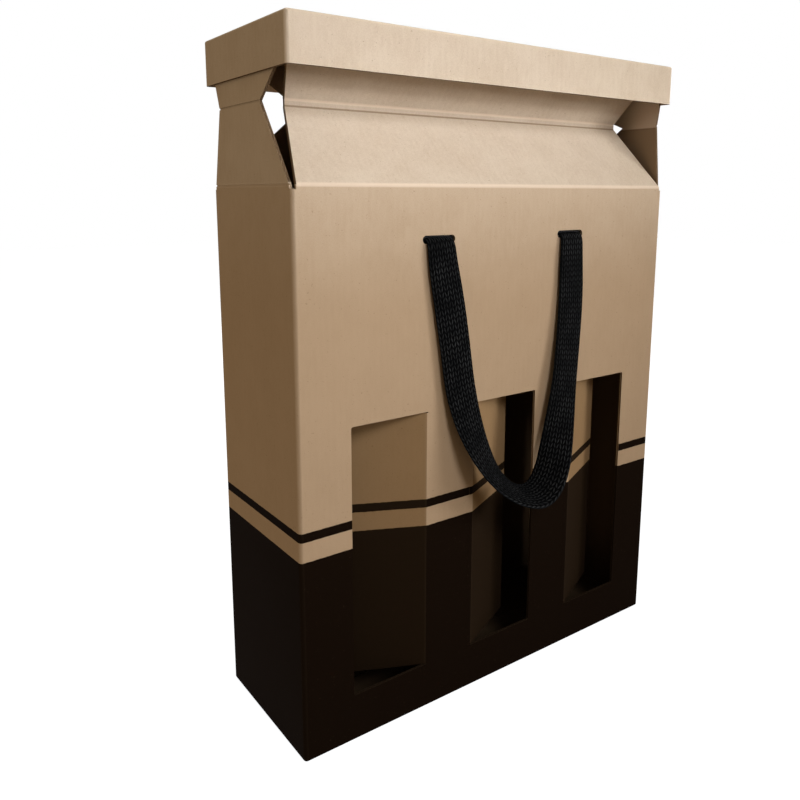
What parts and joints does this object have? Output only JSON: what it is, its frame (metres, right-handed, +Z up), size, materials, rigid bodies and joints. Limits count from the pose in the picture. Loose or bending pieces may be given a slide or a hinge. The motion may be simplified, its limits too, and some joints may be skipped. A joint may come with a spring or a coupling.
{
  "type": "wine bottle carton",
  "caption": "Upright kraft board carton for wine bottles, with windows whose flaps fold inwards, a pinched hourglass top under a lift-off lid, and a black strap handle.",
  "frame": {"origin": "on the floor under the middle of the carton", "axes": "+Z up, +X to the right seen from the front, the windows and the strap on the -Y side"},
  "size_m": [0.2678, 0.1108, 0.3625],
  "materials": {
    "kraft_board": "matte kraft liner, printed with a dark field and a thin dark stripe",
    "black_strap": "flat braid",
    "black_plastic": "moulded"
  },
  "bodies": {
    "carton": {"carton": "kraft_board", "handle_strap": "black_strap", "strap_bar_left": "black_plastic", "strap_bar_right": "black_plastic"},
    "lid": {"lid": "kraft_board"},
    "flap_left": {"window_flap_left": "kraft_board"},
    "flap_middle": {"window_flap_middle": "kraft_board"},
    "flap_right": {"window_flap_right": "kraft_board"}
  },
  "joints": [
    {"name": "lid_lift", "type": "slide", "parent": "carton", "child": "lid", "axis": [0, 0, 1], "range_m": [0, 0.06]},
    {"name": "flap_left_fold", "type": "hinge", "parent": "carton", "child": "flap_left", "pos_m": [-0.05535, -0.04325, 0.099], "axis": [0, 0, -1], "range_deg": [-25, 65]},
    {"name": "flap_middle_fold", "type": "hinge", "parent": "carton", "child": "flap_middle", "pos_m": [-0.02315, -0.04325, 0.099], "axis": [0, 0, 1], "range_deg": [-25, 65]},
    {"name": "flap_right_fold", "type": "hinge", "parent": "carton", "child": "flap_right", "pos_m": [0.05535, -0.04325, 0.099], "axis": [0, 0, 1], "range_deg": [-25, 65]}
  ]
}
